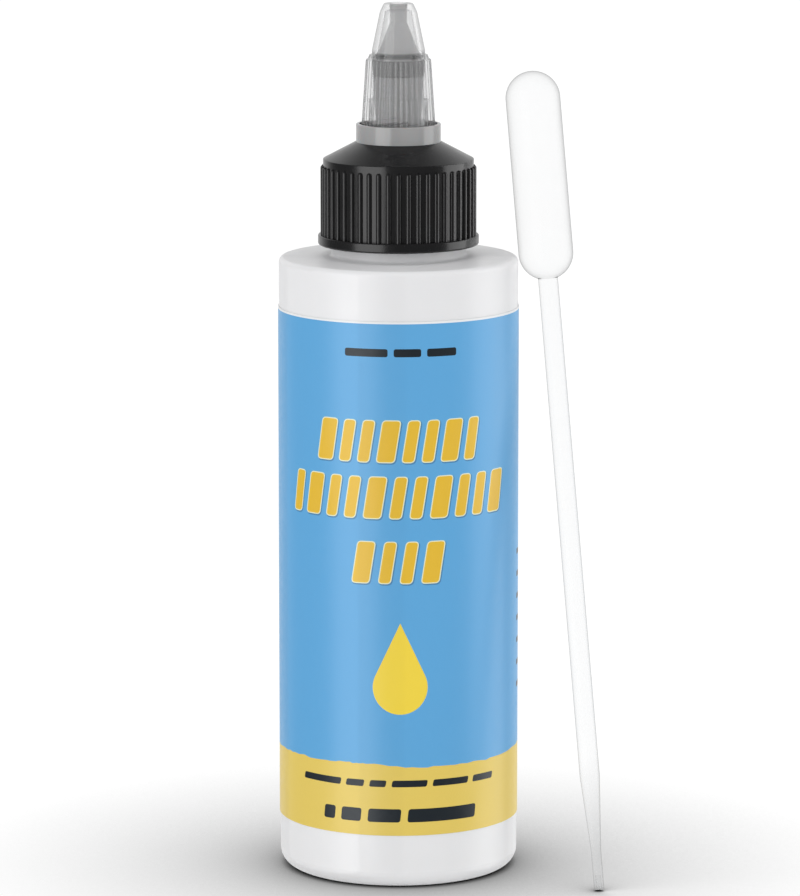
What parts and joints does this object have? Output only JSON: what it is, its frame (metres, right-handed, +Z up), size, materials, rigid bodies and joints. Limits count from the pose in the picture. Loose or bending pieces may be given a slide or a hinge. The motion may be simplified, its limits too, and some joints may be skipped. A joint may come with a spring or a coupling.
{
  "type": "oil bottle with twist spout and pipette",
  "caption": "Small plastic squeeze bottle of glass-cutting oil with a screw cap, a twist-open spout, a wrap label and a transfer pipette leaning against it.",
  "frame": {"origin": "middle of the face that the bottle stands on, on the bottle's axis", "axes": "+Z up along the bottle's axis towards the spout; the label's front panel faces -Y; the pipette leans on the +X side"},
  "size_m": [0.0551, 0.0428, 0.1478],
  "materials": {
    "bottle_plastic": "satin white polyethylene",
    "label_film": "satin printed film",
    "liner_foam": "closed-cell foam",
    "cap_plastic": "satin black polypropylene",
    "insert_plastic": "glossy grey polyethylene",
    "seal_rubber": "soft grey rubber",
    "spout_plastic": "glossy translucent polyethylene",
    "pipette_plastic": "translucent natural polyethylene"
  },
  "bodies": {
    "bottle": {"bottle": "bottle_plastic", "label": "label_film"},
    "cap_liner": {"cap_liner": "liner_foam"},
    "cap": {"cap_shell": "cap_plastic", "nozzle_post": "insert_plastic"},
    "seal_ring": {"spout_seal_ring": "seal_rubber"},
    "spout": {"twist_spout": "spout_plastic"},
    "pipette": {"pipette": "pipette_plastic"}
  },
  "joints": [
    {"name": "cap_rise", "type": "slide", "parent": "bottle", "child": "cap_liner", "axis": [0, 0, 1], "range_m": [0, 0.00476]},
    {"name": "cap_turn", "type": "hinge", "parent": "cap_liner", "child": "cap", "pos_m": [0, 0, 0.1143], "axis": [0, 0, 1], "range_deg": [0, 540]},
    {"name": "spout_rise", "type": "slide", "parent": "cap", "child": "seal_ring", "axis": [0, 0, 1], "range_m": [0, 0.0022]},
    {"name": "spout_turn", "type": "hinge", "parent": "seal_ring", "child": "spout", "pos_m": [0, 0, 0.136], "axis": [0, 0, 1], "range_deg": [0, 180]},
    {"name": "pipette_lift", "type": "slide", "parent": "bottle", "child": "pipette", "axis": [-0.0816, 0.23, 0.9698], "range_m": [0, 0.16]}
  ],
  "couplings": [
    {"joint": "cap_turn", "follows": "cap_rise", "rad_per_m": 1979},
    {"joint": "spout_turn", "follows": "spout_rise", "rad_per_m": 1428}
  ]
}
